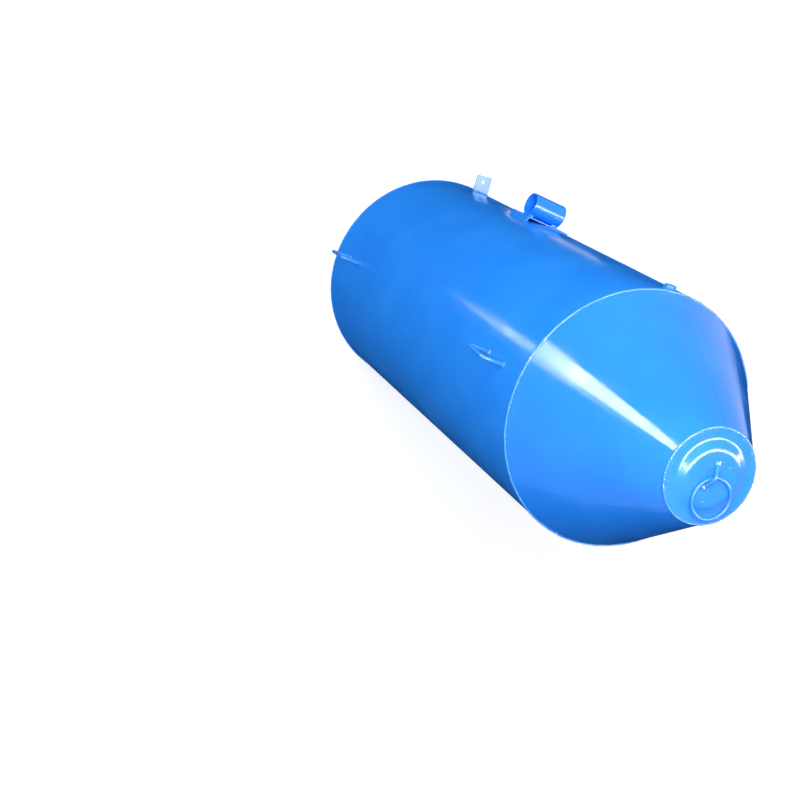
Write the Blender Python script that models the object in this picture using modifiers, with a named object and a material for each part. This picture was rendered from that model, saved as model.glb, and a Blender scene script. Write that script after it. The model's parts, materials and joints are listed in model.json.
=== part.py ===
"""Steel dredge float: a rolled drum with a coned nose, closed by a pressed cap and a flat rear plate.

It carries a swinging mooring ring, two lifting handles, a socket on a folded saddle for the pipe that
joins it to its neighbour, a drilled tab for a line and a plug for testing the welds with air.

Metres, +Z up. The float stands on its flat rear end and +Z runs along its axis to the nose. The origin
is the centre of the rear plate's outer face, -Y points squarely out through the socket's saddle, and the
socket's bore runs along X. Angles round the drum are counted from -Y towards +X.
"""

from math import atan, cos, hypot, pi, radians, sin, sqrt, tan

import bmesh
import bpy
from mathutils import Matrix, Vector

# Clearance between pieces that touch
GAP = 0.0003

# Drum
DRUM_RADIUS = 0.300
DRUM_LENGTH = 1.250
DRUM_SHEET = 0.002
DRUM_SIDES = 72

# Rear plate
REAR_PLATE_THICKNESS = 0.003
REAR_PLATE_STEP = 0.001

# Nose cone
CONE_LENGTH = 0.340
CONE_END_RADIUS = 0.1035
CONE_SHEET = 0.002

# Nose cap, a pressed disc with a raised crown
CAP_OVERHANG = 0.001
CAP_THICKNESS = 0.003
CAP_CROWN_RADIUS = 0.0605
CAP_SLOPE_WIDTH = 0.020
CAP_RISE = 0.009
CAP_BEND_RADIUS = 0.009
CAP_SIDES = 48

# Staple on the cap and the ring that it holds
STAPLE_ROD = 0.008
STAPLE_SPAN = 0.055
STAPLE_ROOM = 0.0052
STAPLE_BEND_RADIUS = 0.010
STAPLE_ANGLE = -6.0
STAPLE_X = 0.0065
STAPLE_Y = -0.0038
RING_WIRE = 0.007
RING_RADIUS = 0.0445
RING_ANGLE = -147.5
RING_SLIP = 0.006

# Lifting handles, bent from rod
HANDLE_ROD = 0.0085
HANDLE_LENGTH = 0.084
HANDLE_HEIGHT = 0.058
HANDLE_BEND_RADIUS = 0.011
FRONT_HANDLE_ANGLE = 90.0
FRONT_HANDLE_SKEW = 3.0
FRONT_HANDLE_FROM_RIM = 0.128
REAR_HANDLE_ANGLE = 92.5
REAR_HANDLE_SKEW = -1.5
REAR_HANDLE_FROM_REAR = 0.147

# Socket for the cross pipe, on a saddle folded from plate
SOCKET_BORE = 0.053
SOCKET_WALL = 0.0035
SOCKET_LENGTH = 0.094
SOCKET_SIDES = 48
SADDLE_PLATE = 0.004
SADDLE_LENGTH = 0.128
SADDLE_WIDTH = 0.104
SADDLE_BEND_RADIUS = 0.005
SADDLE_OFFSET = 0.018
SADDLE_FROM_RIM = 0.748

# Tab for a line, at the rear
TAB_WIDTH = 0.046
TAB_HEIGHT = 0.048
TAB_THICKNESS = 0.004
TAB_HOLE = 0.012
TAB_HOLE_HEIGHT = 0.030
TAB_ANGLE = 8.8
TAB_OFFSET = -0.026
TAB_FROM_REAR = 0.104

# Air test plug and the boss that it screws into
PLUG_ANGLE = 7.8
PLUG_FROM_RIM = 0.028
PLUG_ACROSS_FLATS = 0.024
PLUG_HEAD = 0.009
PLUG_THREAD = 0.018
PLUG_THREAD_CLEARANCE = 0.0003
BOSS_WALL = 0.0035
BOSS_STAND = 0.001
BOSS_DEPTH = 0.014

# Welds
RIM_WELD_WIDTH = 0.009
RIM_WELD_HEIGHT = 0.0018
SEAM_WELD_WIDTH = 0.008
SEAM_WELD_HEIGHT = 0.0014
DRUM_SEAM_ANGLE = 2.0
CONE_SEAM_ANGLE = 5.0
SEAM_END_GAP = 0.003
FOOT_WELD_LEG = 0.005
PLATE_WELD_LEG = 0.0045
TACK_LENGTH = 0.018
TACK_INNER = 0.007
TACK_LEG = 0.010
CAP_WELD_WIDTH = 0.0055
CAP_WELD_HEIGHT = 0.0018

# Levels along the axis
DRUM_REAR = REAR_PLATE_THICKNESS + GAP
RIM = DRUM_REAR + DRUM_LENGTH
CONE_REAR = RIM + GAP
CONE_FRONT = CONE_REAR + CONE_LENGTH
CAP_FACE = CONE_FRONT + GAP + CAP_THICKNESS
CROWN_FACE = CAP_FACE + CAP_RISE
STAPLE_RISE = GAP + RING_WIRE + STAPLE_ROOM + STAPLE_ROD / 2
SADDLE_LEVEL = RIM - SADDLE_FROM_RIM
TAB_LEVEL = DRUM_REAR + TAB_FROM_REAR
PLUG_LEVEL = RIM - PLUG_FROM_RIM

# Radii from the axis
DRUM_SURFACE = DRUM_RADIUS + GAP
SADDLE_TOP = DRUM_SURFACE + SADDLE_PLATE
SOCKET_RADIUS = SOCKET_BORE / 2 + SOCKET_WALL
SOCKET_AXIS = SADDLE_TOP + GAP + SOCKET_RADIUS
BOSS_RADIUS = PLUG_THREAD / 2 + PLUG_THREAD_CLEARANCE + BOSS_WALL
CAP_RADIUS = CONE_END_RADIUS + CAP_OVERHANG
CONE_SLOPE = (DRUM_RADIUS - CONE_END_RADIUS) / CONE_LENGTH

LINE_STEPS = 6
SHARP_ANGLE = 35
MERGE_DISTANCE = 0.00001


def collection(name):
    made = bpy.data.collections.new(name)
    bpy.context.scene.collection.children.link(made)
    return made


def paint(name, colour, roughness):
    made = bpy.data.materials.new(name)
    made.use_nodes = True
    shader = made.node_tree.nodes["Principled BSDF"]
    shader.inputs["Base Color"].default_value = (*colour, 1)
    shader.inputs["Roughness"].default_value = roughness
    shader.inputs["Metallic"].default_value = 0
    made.diffuse_color = (*colour, 1)
    return made


def line_on_drum(name, angle):
    """An empty turned so that its -Y points out of the drum at this angle."""
    empty = bpy.data.objects.new(name, None)
    empty.rotation_euler = (0, 0, radians(angle))
    FLOAT.objects.link(empty)
    return empty


def add(name, data, material, parent=None, place=(0, 0, 0), turn=(0, 0, 0), group=None):
    part = bpy.data.objects.new(name, data)
    part.location = place
    part.rotation_euler = turn
    part.parent = parent
    if material:
        data.materials.append(material)
    (group or FLOAT).objects.link(part)
    return part


def as_cutter(part):
    part.hide_render = True
    part.display_type = "WIRE"
    return part


def boolean(part, other, operation="DIFFERENCE"):
    cut = part.modifiers.new(operation.lower() + " " + other.name, "BOOLEAN")
    cut.operation = operation
    cut.solver = "EXACT"
    cut.object = other


def profile_mesh(name, profile, closed):
    mesh = bpy.data.meshes.new(name)
    edges = [(i, i + 1) for i in range(len(profile) - 1)]
    if closed:
        edges.append((len(profile) - 1, 0))
    mesh.from_pydata([(radius, 0, height) for radius, height in profile], edges, [])
    return mesh


def turned(name, profile, material, sides=DRUM_SIDES, closed=True, **place):
    """A solid turned about Z from (radius, height) points that run down its outer side."""
    part = add(name, profile_mesh(name, profile, closed), material, **place)
    spin = part.modifiers.new("turn", "SCREW")
    spin.axis = "Z"
    spin.steps = sides
    spin.render_steps = sides
    spin.use_merge_vertices = True
    spin.merge_threshold = MERGE_DISTANCE
    return as_mesh(part)


def rounded(points, radii, steps=LINE_STEPS):
    """An open line of points with its inner corners rounded to these radii."""
    line = [Vector(points[0])]
    for before, corner, after, radius in zip(points, points[1:], points[2:], radii):
        corner = Vector(corner)
        back = (Vector(before) - corner).normalized()
        ahead = (Vector(after) - corner).normalized()
        half = back.angle(ahead) / 2
        centre = corner + (back + ahead).normalized() * radius / sin(half)
        start = corner + back * radius / tan(half) - centre
        end = corner + ahead * radius / tan(half) - centre
        sweep = start.angle(end)
        for step in range(steps + 1):
            share = step / steps
            line.append(centre + (start * sin((1 - share) * sweep) + end * sin(share * sweep)) / sin(sweep))
    line.append(Vector(points[-1]))
    return line


def circle(radius, centre=(0, 0), sides=24, phase=0.0):
    turns = [phase + 2 * pi * step / sides for step in range(sides)]
    return [(centre[0] + radius * cos(turn), centre[1] + radius * sin(turn)) for turn in turns]


def plate(name, outlines, thickness, material, **place):
    """A flat plate about its XY plane. Outlines after the first one are holes."""
    curve = bpy.data.curves.new(name, "CURVE")
    curve.dimensions = "2D"
    curve.fill_mode = "BOTH"
    curve.extrude = thickness / 2
    for outline in outlines:
        spline = curve.splines.new("POLY")
        spline.points.add(len(outline) - 1)
        for point, (x, y) in zip(spline.points, outline):
            point.co = (x, y, 0, 1)
        spline.use_cyclic_u = True
    return as_mesh(add(name, curve, material, **place))


def rod(name, line, thickness, material, **place):
    curve = bpy.data.curves.new(name, "CURVE")
    curve.dimensions = "3D"
    curve.bevel_depth = thickness / 2
    curve.bevel_resolution = 4
    curve.use_fill_caps = True
    spline = curve.splines.new("POLY")
    spline.points.add(len(line) - 1)
    for point, co in zip(spline.points, line):
        point.co = (*co, 1)
    return as_mesh(add(name, curve, material, **place))


def as_mesh(part):
    """The same piece as a mesh with its caps welded on, so that it can be cut, and its round faces smooth."""
    bpy.context.view_layer.update()
    evaluated = part.evaluated_get(bpy.context.evaluated_depsgraph_get())
    mesh = bpy.data.meshes.new_from_object(evaluated)
    shape = bmesh.new()
    shape.from_mesh(mesh)
    bmesh.ops.remove_doubles(shape, verts=shape.verts, dist=MERGE_DISTANCE)
    bmesh.ops.recalc_face_normals(shape, faces=shape.faces)
    shape.to_mesh(mesh)
    shape.free()
    shade(mesh)
    made = bpy.data.objects.new(part.name + "_mesh", mesh)
    made.parent = part.parent
    made.location = part.location
    made.rotation_euler = part.rotation_euler
    for home in part.users_collection:
        home.objects.link(made)
    name = part.name
    bpy.data.objects.remove(part)
    made.name = name
    return made


def shade(mesh):
    mesh.shade_smooth()
    mesh.set_sharp_from_angle(angle=radians(SHARP_ANGLE))


def drum_depth(offset):
    """How far the drum's clear surface lies from the axis plane, this far to one side."""
    return sqrt(DRUM_SURFACE**2 - offset**2)


def drum_arc(start, end, steps=LINE_STEPS):
    """Points across the drum's clear surface, from one offset to another."""
    offsets = [start + (end - start) * step / steps for step in range(steps + 1)]
    return [(offset, -drum_depth(offset)) for offset in offsets]


def build_shell():
    radius = DRUM_RADIUS
    inner = radius - DRUM_SHEET
    drum = turned("drum_shell", [(inner, RIM), (radius, RIM), (radius, DRUM_REAR), (inner, DRUM_REAR)], BLUE)
    bore = BOSS_RADIUS + GAP
    hole = turned(
        "plug_hole",
        [(0, BOSS_DEPTH), (bore, BOSS_DEPTH), (bore, -BOSS_DEPTH), (0, -BOSS_DEPTH)],
        None,
        sides=24,
        closed=False,
        parent=PLUG_LINE,
        place=(0, -radius, PLUG_LEVEL),
        turn=OUTWARD,
        group=CUTTERS,
    )
    boolean(drum, as_cutter(hole))

    across = CONE_SHEET * hypot(1, CONE_SLOPE)
    end = CONE_END_RADIUS
    turned(
        "nose_cone",
        [(end - across, CONE_FRONT), (end, CONE_FRONT), (radius, CONE_REAR), (radius - across, CONE_REAR)],
        LIGHT_BLUE,
    )

    edge = radius - REAR_PLATE_STEP
    rear = [(0, REAR_PLATE_THICKNESS), (edge, REAR_PLATE_THICKNESS), (edge, 0), (0, 0)]
    turned("rear_plate", rear, BLUE, closed=False)


def build_cap():
    """A disc pressed up to a flat crown, of one thickness all over."""
    foot = CAP_CROWN_RADIUS + CAP_SLOPE_WIDTH
    corners = [(0, CROWN_FACE), (CAP_CROWN_RADIUS, CROWN_FACE), (foot, CAP_FACE), (CAP_RADIUS, CAP_FACE)]
    top = rounded(corners, [CAP_BEND_RADIUS, CAP_BEND_RADIUS], steps=3)
    # The lower face is the upper one set down by the thickness, measured square to each stretch
    under = CAP_THICKNESS * (hypot(CAP_SLOPE_WIDTH, CAP_RISE) - CAP_SLOPE_WIDTH) / CAP_RISE
    corners = [
        (0, CROWN_FACE - CAP_THICKNESS),
        (CAP_CROWN_RADIUS - under, CROWN_FACE - CAP_THICKNESS),
        (foot - under, CAP_FACE - CAP_THICKNESS),
        (CAP_RADIUS, CAP_FACE - CAP_THICKNESS),
    ]
    bottom = rounded(corners, [CAP_BEND_RADIUS - CAP_THICKNESS, CAP_BEND_RADIUS + CAP_THICKNESS], steps=3)
    profile = [tuple(point) for point in top + bottom[::-1]]
    turned("nose_cap", profile, LIGHT_BLUE, sides=CAP_SIDES, closed=False)


def build_staple_and_ring():
    """A bent rod welded on a little off the cap's centre, and the ring that hangs in it."""
    line = line_on_drum("staple_line", STAPLE_ANGLE)
    line.location = (STAPLE_X, STAPLE_Y, CROWN_FACE)
    half = STAPLE_SPAN / 2
    sunk = STAPLE_ROD
    # Rounding the corner off lowers the rod's middle, so the corner starts that much higher
    drop = STAPLE_BEND_RADIUS * (hypot(1, STAPLE_RISE / half) - 1)
    slope = (STAPLE_RISE + drop) / half
    corners = [(half + sunk / slope, -sunk), (0, STAPLE_RISE + drop), (-half - sunk / slope, -sunk)]
    path = [(0, -along, height) for along, height in rounded(corners, [STAPLE_BEND_RADIUS])]
    staple = rod("ring_staple", path, STAPLE_ROD, BLUE, parent=line)
    below = turned(
        "staple_foot_cut",
        [(0, GAP), (STAPLE_SPAN, GAP), (STAPLE_SPAN, -STAPLE_SPAN), (0, -STAPLE_SPAN)],
        None,
        sides=24,
        closed=False,
        parent=line,
        group=CUTTERS,
    )
    boolean(staple, as_cutter(below))

    room = as_cutter(rod("staple_room", path, STAPLE_ROD + 2 * GAP, None, parent=line, group=CUTTERS))
    foot_radius = STAPLE_ROD / 2 + FOOT_WELD_LEG * 0.8
    for name, side in (("staple_weld_front", 1), ("staple_weld_back", -1)):
        bead = turned(
            name,
            [
                (0, GAP + FOOT_WELD_LEG),
                (foot_radius / 2, GAP + FOOT_WELD_LEG),
                (foot_radius, GAP + FOOT_WELD_LEG / 3),
                (foot_radius, GAP),
                (0, GAP),
            ],
            LIGHT_BLUE,
            sides=24,
            closed=False,
            parent=line,
            place=(0, -side * half, 0),
        )
        boolean(bead, room)

    swing = line_on_drum("ring_swing", RING_ANGLE - STAPLE_ANGLE)
    swing.parent = line
    swing.location = (0, RING_SLIP, GAP + RING_WIRE / 2)
    bpy.ops.mesh.primitive_torus_add(
        major_radius=RING_RADIUS, minor_radius=RING_WIRE / 2, major_segments=72, minor_segments=12
    )
    ring = bpy.context.object
    ring.name = "mooring_ring"
    ring.data.name = "mooring_ring"
    # The ring's own origin is on its hinge, at the wire that the staple holds
    ring.data.transform(Matrix.Translation((0, -RING_RADIUS, 0)))
    shade(ring.data)
    ring.parent = swing
    ring.data.materials.append(BLUE)
    for home in ring.users_collection:
        home.objects.unlink(ring)
    FLOAT.objects.link(ring)


def build_handle(name, level, angle, skew):
    """A rod loop that stands squarely out of the drum, turned a little on its feet, welded on at both."""
    line = line_on_drum(name + "_line", angle)
    line.location = (0, 0, level)
    line.rotation_euler.y = radians(skew)
    half = HANDLE_LENGTH / 2
    out = DRUM_RADIUS + HANDLE_HEIGHT
    corners = [(-DRUM_SURFACE, half), (-out, half), (-out, -half), (-DRUM_SURFACE, -half)]
    bends = [HANDLE_BEND_RADIUS, HANDLE_BEND_RADIUS]
    path = [(0, along, height) for along, height in rounded(corners, bends)]
    rod(name, path, HANDLE_ROD, BLUE, parent=line)
    bore = HANDLE_ROD / 2 + GAP
    for end, side in (("front", 1), ("rear", -1)):
        turned(
            name + "_weld_" + end,
            [
                (bore, FOOT_WELD_LEG),
                (bore + FOOT_WELD_LEG / 3, FOOT_WELD_LEG),
                (bore + FOOT_WELD_LEG, FOOT_WELD_LEG / 4),
                (bore + FOOT_WELD_LEG, 0),
                (bore, 0),
            ],
            LIGHT_BLUE,
            sides=24,
            parent=line,
            place=(0, -DRUM_SURFACE, side * half),
            turn=OUTWARD,
        )


def build_saddle():
    """Plate folded down at both ends to the drum, open to the front and rear, with the socket across it."""
    left = SADDLE_OFFSET - SADDLE_LENGTH / 2
    right = SADDLE_OFFSET + SADDLE_LENGTH / 2
    inner_left = left + SADDLE_PLATE
    inner_right = right - SADDLE_PLATE
    outer = rounded(
        [(left, -drum_depth(left)), (left, -SADDLE_TOP), (right, -SADDLE_TOP), (right, -drum_depth(right))],
        [SADDLE_BEND_RADIUS, SADDLE_BEND_RADIUS],
    )
    inner_bend = max(SADDLE_BEND_RADIUS - SADDLE_PLATE, GAP)
    inner = rounded(
        [
            (inner_right, -drum_depth(inner_right)),
            (inner_right, -DRUM_SURFACE),
            (inner_left, -DRUM_SURFACE),
            (inner_left, -drum_depth(inner_left)),
        ],
        [inner_bend, inner_bend],
        steps=3,
    )
    outline = [tuple(point) for point in outer + inner]
    plate("socket_saddle", [outline], SADDLE_WIDTH, BLUE, place=(0, 0, SADDLE_LEVEL))

    leg = PLATE_WELD_LEG
    for name, near, far in (
        ("saddle_weld_left", left - GAP, left - GAP - leg),
        ("saddle_weld_right", right + GAP, right + GAP + leg),
    ):
        section = [(near, -drum_depth(near)), (far, -drum_depth(far)), (near, -drum_depth(near) - leg)]
        plate(name, [section], SADDLE_WIDTH - 2 * leg, LIGHT_BLUE, place=(0, 0, SADDLE_LEVEL))

    bore = SOCKET_BORE / 2
    end = SOCKET_LENGTH / 2
    turned(
        "socket_tube",
        [(bore, end), (SOCKET_RADIUS, end), (SOCKET_RADIUS, -end), (bore, -end)],
        BLUE,
        sides=SOCKET_SIDES,
        place=(SADDLE_OFFSET, -SOCKET_AXIS, SADDLE_LEVEL),
        turn=(0, pi / 2, 0),
    )
    build_tacks()


def build_tacks():
    """Short fillets in the groove between tube and saddle, near each end of the tube."""
    reach = SOCKET_RADIUS + GAP
    axis = SOCKET_RADIUS + GAP
    top = TACK_INNER + TACK_LEG * 2 / 3
    arc = [TACK_INNER + (top - TACK_INNER) * step / 4 for step in range(5)]
    curved = [(offset, axis - sqrt(reach**2 - offset**2)) for offset in arc]
    section = [(TACK_INNER, GAP), (TACK_INNER + TACK_LEG, GAP)] + curved[::-1]
    out = SOCKET_LENGTH / 2 - TACK_LENGTH / 2 - GAP
    for front in (1, -1):
        for side in (1, -1):
            name = "tube_tack_" + ("front" if front > 0 else "rear") + ("_right" if side > 0 else "_left")
            outline = [(-height, front * offset) for offset, height in section]
            # The outline's X runs out of the drum and its Y along the float
            plate(
                name,
                [outline],
                TACK_LENGTH,
                LIGHT_BLUE,
                place=(SADDLE_OFFSET + side * out, -SADDLE_TOP, SADDLE_LEVEL),
                turn=(pi / 2, 0, pi / 2),
            )


def build_tab():
    """A flat drilled plate that leans a little to one side of its foot, with a fillet along each face."""
    line = line_on_drum("tab_line", TAB_ANGLE)
    left = TAB_OFFSET - TAB_WIDTH / 2
    right = TAB_OFFSET + TAB_WIDTH / 2
    out = DRUM_RADIUS + TAB_HEIGHT
    outline = [(right, -out), (left, -out)] + drum_arc(left, right)
    hole = circle(TAB_HOLE / 2, (TAB_OFFSET, -DRUM_RADIUS - TAB_HOLE_HEIGHT))
    seat = {"parent": line, "place": (0, 0, TAB_LEVEL)}
    plate("rear_tab", [outline, hole], TAB_THICKNESS, BLUE, **seat)

    leg = PLATE_WELD_LEG
    near = TAB_THICKNESS / 2 + GAP
    span = [(right, -out), (left, -out), (left, -DRUM_RADIUS / 2), (right, -DRUM_RADIUS / 2)]
    reach = as_cutter(plate("tab_weld_reach", [span], 2 * TAB_HEIGHT, None, group=CUTTERS, **seat))
    for name, side in (("tab_weld_front", 1), ("tab_weld_rear", -1)):
        foot = side * near
        toe = side * (near + leg)
        section = [(DRUM_SURFACE, foot), (DRUM_SURFACE + leg, foot), (DRUM_SURFACE, toe)]
        fillet = turned(name, section, LIGHT_BLUE, sides=2 * DRUM_SIDES, **seat)
        boolean(fillet, reach, "INTERSECT")


def build_plug():
    """A hexagon plug screwed into a boss that is set through the drum and welded round."""
    seat = {"parent": PLUG_LINE, "place": (0, -DRUM_RADIUS, PLUG_LEVEL), "turn": OUTWARD}
    thread = PLUG_THREAD / 2
    bore = thread + PLUG_THREAD_CLEARANCE
    stand = BOSS_STAND
    bottom = stand - BOSS_DEPTH
    boss = [(bore, stand), (BOSS_RADIUS, stand), (BOSS_RADIUS, bottom), (bore, bottom)]
    turned("plug_boss", boss, BLUE, sides=24, **seat)

    under = stand + GAP
    top = under + PLUG_HEAD
    corner = PLUG_ACROSS_FLATS / sqrt(3)
    chamfer = (corner - PLUG_ACROSS_FLATS / 2) * 1.2
    plug = turned(
        "air_plug",
        [
            (0, top),
            (corner - chamfer, top),
            (corner, top - chamfer * tan(radians(30))),
            (corner, under),
            (thread, under),
            (thread, bottom),
            (0, bottom),
        ],
        LIGHT_BLUE,
        sides=48,
        closed=False,
        **seat,
    )
    hexagon = plate(
        "plug_hexagon",
        [circle(corner, sides=6, phase=pi / 6)],
        2 * (BOSS_DEPTH + PLUG_HEAD + stand),
        None,
        group=CUTTERS,
        **seat,
    )
    boolean(plug, as_cutter(hexagon), "INTERSECT")

    inner = BOSS_RADIUS + GAP
    low = BOSS_STAND
    leg = FOOT_WELD_LEG * 0.8
    drop = DRUM_RADIUS - sqrt(DRUM_RADIUS**2 - (inner + leg) ** 2)
    turned(
        "plug_weld",
        [(inner, GAP + low), (inner + leg, GAP), (inner + leg, GAP - drop / 2), (inner, GAP)],
        LIGHT_BLUE,
        sides=24,
        **seat,
    )


def build_rim_welds():
    half = RIM_WELD_WIDTH / 2
    high = RIM_WELD_HEIGHT
    surface = DRUM_SURFACE
    lift = GAP * hypot(1, CONE_SLOPE)
    on_cone = DRUM_RADIUS - (half - GAP) * CONE_SLOPE + lift
    front = [
        (surface, RIM + lift / 2),
        (on_cone, RIM + half),
        (on_cone + high * 0.9, RIM + half * 0.6),
        (surface + high, RIM - half * 0.2),
        (surface + high * 0.7, RIM - half * 0.7),
        (surface, RIM - half),
    ]
    turned("front_rim_weld", front, LIGHT_BLUE)

    step = DRUM_RADIUS - REAR_PLATE_STEP + GAP
    rear = [
        (surface, DRUM_REAR + half),
        (surface + high * 0.8, DRUM_REAR + half * 0.4),
        (surface + high, DRUM_REAR - REAR_PLATE_THICKNESS / 3),
        (step + high / 2, GAP),
        (step, GAP),
        (step, DRUM_REAR - GAP),
        (surface, DRUM_REAR - GAP),
    ]
    turned("rear_rim_weld", rear, BLUE)


def build_cap_weld():
    """A bead in the corner between the cap's edge and the cone."""
    inner = CAP_RADIUS + GAP
    reach = CAP_WELD_WIDTH
    lift = GAP * hypot(1, CONE_SLOPE)
    start = CONE_FRONT - (inner - CONE_END_RADIUS - lift) / CONE_SLOPE
    foot = start - reach * 0.8
    on_cone = inner + reach * 0.8 * CONE_SLOPE
    bead = [
        (inner, CAP_FACE - CAP_THICKNESS * 0.3),
        (inner + CAP_WELD_HEIGHT, CAP_FACE - CAP_THICKNESS * 0.7),
        (on_cone + CAP_WELD_HEIGHT, start),
        (on_cone, foot),
        (inner, start),
    ]
    turned("cap_weld", bead, LIGHT_BLUE)


def bead_section(width, height, steps=5):
    """A low rounded section that lies on its X axis."""
    turns = [pi * step / steps for step in range(steps + 1)]
    return [(width / 2 * cos(turn), -height * sin(turn)) for turn in turns]


def build_seam_welds():
    """The drum's seam in stretches between the fittings, and the cone's in one run."""
    seam = line_on_drum("seam_line", DRUM_SEAM_ANGLE)
    saddle = SADDLE_WIDTH / 2 + SEAM_END_GAP
    tab = TAB_THICKNESS / 2 + PLATE_WELD_LEG + SEAM_END_GAP
    rim = RIM_WELD_WIDTH / 2 + GAP
    stretches = (
        ("drum_seam_weld_front", SADDLE_LEVEL + saddle, RIM - rim),
        ("drum_seam_weld_middle", TAB_LEVEL + tab, SADDLE_LEVEL - saddle),
        ("drum_seam_weld_rear", DRUM_REAR + rim, TAB_LEVEL - tab),
    )
    section = bead_section(SEAM_WELD_WIDTH, SEAM_WELD_HEIGHT)
    for name, start, end in stretches:
        middle = (start + end) / 2
        plate(name, [section], end - start, LIGHT_BLUE, parent=seam, place=(0, -DRUM_SURFACE, middle))

    seam = line_on_drum("cone_seam_line", CONE_SEAM_ANGLE)
    start = rim + SEAM_END_GAP
    end = CONE_LENGTH - CAP_WELD_WIDTH - SEAM_END_GAP
    middle = (start + end) / 2
    lift = GAP * hypot(1, CONE_SLOPE)
    plate(
        "cone_seam_weld",
        [section],
        (end - start) * hypot(1, CONE_SLOPE),
        LIGHT_BLUE,
        parent=seam,
        place=(0, -(DRUM_RADIUS - middle * CONE_SLOPE + lift), CONE_REAR + middle),
        turn=(-atan(CONE_SLOPE), 0, 0),
    )


for old in list(bpy.data.objects):
    bpy.data.objects.remove(old)

FLOAT = collection("dredge_float")
CUTTERS = collection("cutters")
BLUE = paint("blue enamel", (0.010, 0.165, 0.760), 0.22)
LIGHT_BLUE = paint("light blue enamel", (0.030, 0.300, 0.900), 0.25)
OUTWARD = (pi / 2, 0, 0)
PLUG_LINE = line_on_drum("plug_line", PLUG_ANGLE)

build_shell()
build_cap()
build_staple_and_ring()
build_handle("handle_front", RIM - FRONT_HANDLE_FROM_RIM, FRONT_HANDLE_ANGLE, FRONT_HANDLE_SKEW)
build_handle("handle_rear", DRUM_REAR + REAR_HANDLE_FROM_REAR, REAR_HANDLE_ANGLE, REAR_HANDLE_SKEW)
build_saddle()
build_tab()
build_plug()
build_rim_welds()
build_cap_weld()
build_seam_welds()
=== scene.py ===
import json
import random
from math import asin, atan, cos, degrees, hypot, pi, radians, sin, sqrt

import bpy
from bpy.props import FloatProperty, FloatVectorProperty, IntProperty, PointerProperty
from mathutils import Matrix, Vector


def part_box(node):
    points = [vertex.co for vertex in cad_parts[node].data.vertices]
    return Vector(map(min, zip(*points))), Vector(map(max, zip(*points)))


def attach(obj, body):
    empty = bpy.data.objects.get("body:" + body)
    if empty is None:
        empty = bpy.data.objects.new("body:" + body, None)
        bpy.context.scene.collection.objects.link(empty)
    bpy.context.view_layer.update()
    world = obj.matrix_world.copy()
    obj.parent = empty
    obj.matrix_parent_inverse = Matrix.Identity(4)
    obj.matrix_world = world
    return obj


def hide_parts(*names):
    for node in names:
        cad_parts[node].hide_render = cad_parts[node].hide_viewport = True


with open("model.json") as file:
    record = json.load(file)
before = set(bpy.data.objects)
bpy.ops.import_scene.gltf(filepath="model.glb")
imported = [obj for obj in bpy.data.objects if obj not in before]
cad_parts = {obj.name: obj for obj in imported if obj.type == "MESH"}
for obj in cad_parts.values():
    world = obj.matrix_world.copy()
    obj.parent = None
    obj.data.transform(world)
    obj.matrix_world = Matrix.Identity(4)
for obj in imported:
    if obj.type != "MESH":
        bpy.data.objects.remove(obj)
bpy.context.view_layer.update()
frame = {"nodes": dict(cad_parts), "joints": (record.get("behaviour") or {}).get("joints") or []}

bl_info = {
    "name": "Dredge Float",
    "version": (1, 0, 0),
    "blender": (4, 5, 0),
    "location": "View3D > Sidebar > Float",
    "description": "A welded steel dredge float in blue enamel, with its stage, lamps and camera",
    "category": "Object",
}

NODES = frame["nodes"]

# In metres: the hole for the plug's boss, the socket's wall, and how high a welded foot is cut flat
BOSS_HOLE_RADIUS = 0.0131
SOCKET_WALL = 0.0035
FOOT_CUT = 0.0002

# In degrees round the drum
DRUM_SEAM_ANGLE = 2.0
CONE_SEAM_ANGLE = 5.0


def low(node):
    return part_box(node)[0]


def high(node):
    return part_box(node)[1]


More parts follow.
